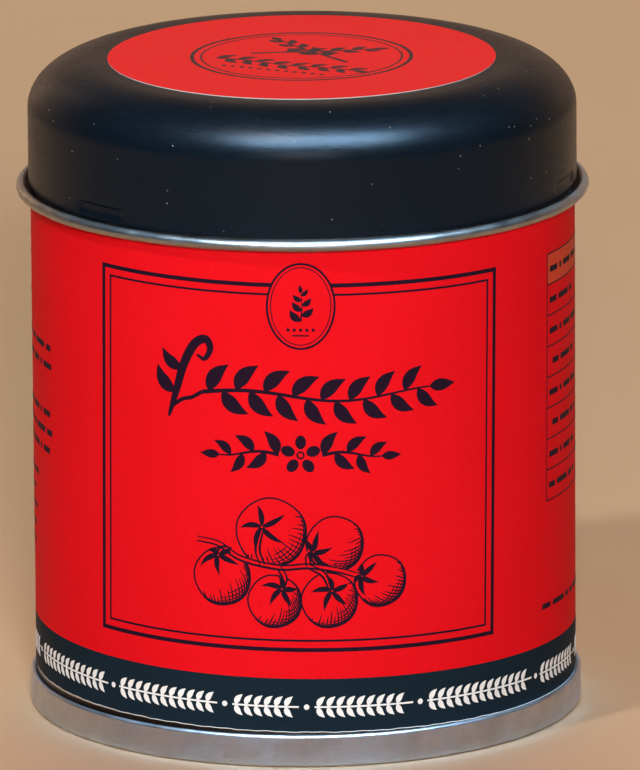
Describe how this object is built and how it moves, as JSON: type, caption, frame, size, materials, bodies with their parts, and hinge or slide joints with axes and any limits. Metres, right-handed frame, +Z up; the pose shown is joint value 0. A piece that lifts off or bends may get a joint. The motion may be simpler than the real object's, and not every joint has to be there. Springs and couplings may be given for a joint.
{
  "type": "spice tin",
  "caption": "Round tinplate spice tin with a rolled rim, a double-seamed base, a slip lid with a rounded shoulder, a shaker insert and paper labels.",
  "frame": {"origin": "on the tin's axis, in the plane that the base rim stands on", "axes": "+Z up along the tin's axis, -Y towards the front of the wall label, +X to the right of it"},
  "size_m": [0.0696, 0.0696, 0.0801],
  "materials": {
    "tinplate": "satin bright tinplate",
    "compound": "matt",
    "black_lacquer": "satin black lacquer",
    "insert_plastic": "satin moulded polypropylene",
    "seal_foam": "soft matt foam",
    "label_paper": "satin printed paper",
    "sticker_paper": "satin printed paper"
  },
  "bodies": {
    "tin": {"body_shell": "tinplate", "base_end": "tinplate", "seam_compound": "compound", "neck_collar": "tinplate", "body_label": "label_paper"},
    "insert": {"shaker_insert": "insert_plastic"},
    "seal": {"seal_disc": "seal_foam"},
    "lid": {"lid_shell": "black_lacquer", "lid_label": "sticker_paper"}
  },
  "joints": [
    {"name": "insert_pull", "type": "slide", "parent": "tin", "child": "insert", "axis": [0, 0, 1], "range_m": [0, 0.025]},
    {"name": "lid_lift", "type": "slide", "parent": "insert", "child": "seal", "axis": [0, 0, 1], "range_m": [0, 0.03]},
    {"name": "lid_turn", "type": "hinge", "parent": "seal", "child": "lid", "pos_m": [0, 0, 0.07], "axis": [0, 0, 1], "continuous": true}
  ]
}
